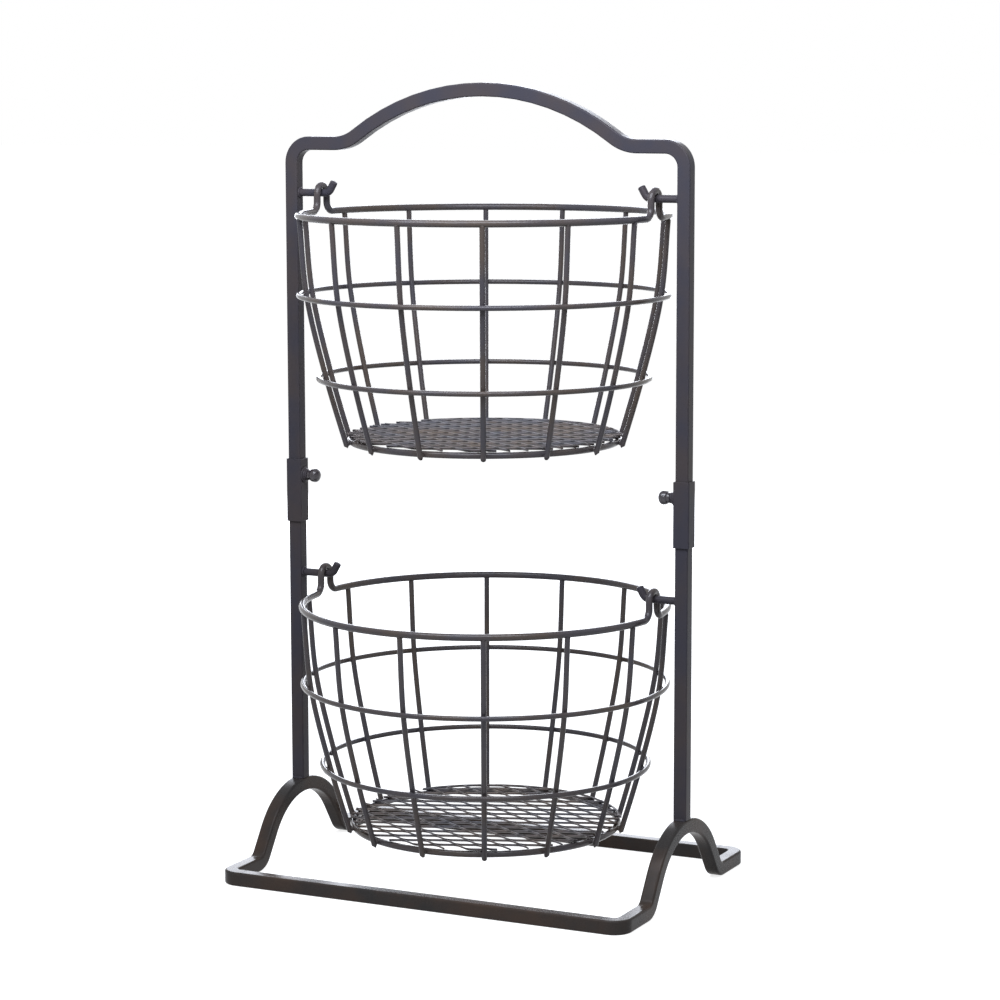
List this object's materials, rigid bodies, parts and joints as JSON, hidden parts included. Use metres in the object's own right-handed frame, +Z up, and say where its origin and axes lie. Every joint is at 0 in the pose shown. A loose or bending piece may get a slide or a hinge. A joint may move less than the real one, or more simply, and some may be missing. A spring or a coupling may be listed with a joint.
{
  "type": "two-tier basket stand",
  "caption": "Countertop stand of bent square bar with an arched handle, whose posts carry two round wire baskets on hooks; the handle frame lifts out of clamped sleeves.",
  "frame": {"origin": "on the table, under the middle of the stand", "axes": "+Z up, +X to the right seen from the front, -Y towards the front"},
  "size_m": [0.345, 0.2884, 0.6144],
  "materials": {
    "frame_coat": "satin dark bronze powder coat on square bar",
    "base_coat": "satin dark bronze powder coat on square bar",
    "wire_coat": "satin dark bronze powder coat on round wire",
    "mesh_coat": "satin dark bronze powder coat on expanded metal",
    "screw_coat": "satin black-bronze coat on a turned screw"
  },
  "bodies": {
    "base": {"front_rail": "base_coat", "rear_rail": "base_coat", "left_side_bow": "base_coat", "right_side_bow": "base_coat", "left_post": "frame_coat", "right_post": "frame_coat", "left_sleeve": "frame_coat", "right_sleeve": "frame_coat", "left_screw_boss": "frame_coat", "right_screw_boss": "frame_coat", "lower_left_hook": "frame_coat", "lower_right_hook": "frame_coat"},
    "upper_frame": {"upper_frame": "frame_coat", "upper_left_hook": "frame_coat", "upper_right_hook": "frame_coat"},
    "upper_basket": {"upper_rim": "wire_coat", "upper_top_hoop": "wire_coat", "upper_low_hoop": "wire_coat", "upper_bottom_ring": "wire_coat", "upper_mesh_floor": "mesh_coat", "upper_rib_01": "wire_coat", "upper_rib_02": "wire_coat", "upper_rib_03": "wire_coat", "upper_rib_04": "wire_coat", "upper_rib_05": "wire_coat", "upper_rib_06": "wire_coat", "upper_rib_07": "wire_coat", "upper_rib_08": "wire_coat", "upper_rib_09": "wire_coat", "upper_rib_10": "wire_coat", "upper_rib_11": "wire_coat", "upper_rib_12": "wire_coat", "upper_rib_13": "wire_coat", "upper_rib_14": "wire_coat"},
    "lower_basket": {"lower_rim": "wire_coat", "lower_top_hoop": "wire_coat", "lower_low_hoop": "wire_coat", "lower_bottom_ring": "wire_coat", "lower_mesh_floor": "mesh_coat", "lower_rib_01": "wire_coat", "lower_rib_02": "wire_coat", "lower_rib_03": "wire_coat", "lower_rib_04": "wire_coat", "lower_rib_05": "wire_coat", "lower_rib_06": "wire_coat", "lower_rib_07": "wire_coat", "lower_rib_08": "wire_coat", "lower_rib_09": "wire_coat", "lower_rib_10": "wire_coat", "lower_rib_11": "wire_coat", "lower_rib_12": "wire_coat", "lower_rib_13": "wire_coat", "lower_rib_14": "wire_coat"},
    "left_thumbscrew": {"left_thumbscrew": "screw_coat"},
    "right_thumbscrew": {"right_thumbscrew": "screw_coat"}
  },
  "joints": [
    {"name": "upper_frame_lift", "type": "slide", "parent": "base", "child": "upper_frame", "axis": [0, 0, 1], "range_m": [0, 0.03]},
    {"name": "upper_basket_swing", "type": "hinge", "parent": "upper_frame", "child": "upper_basket", "pos_m": [0, 0, 0.529], "axis": [1, 0, 0], "range_deg": [-28, 28]},
    {"name": "lower_basket_swing", "type": "hinge", "parent": "base", "child": "lower_basket", "pos_m": [0, 0, 0.228], "axis": [1, 0, 0], "range_deg": [-28, 28]},
    {"name": "left_thumbscrew_turn", "type": "hinge", "parent": "base", "child": "left_thumbscrew", "pos_m": [-0.15, 0, 0.306], "axis": [1, 0, 0], "range_deg": [0, 720]},
    {"name": "right_thumbscrew_turn", "type": "hinge", "parent": "base", "child": "right_thumbscrew", "pos_m": [0.15, 0, 0.306], "axis": [-1, 0, 0], "range_deg": [0, 720]}
  ]
}
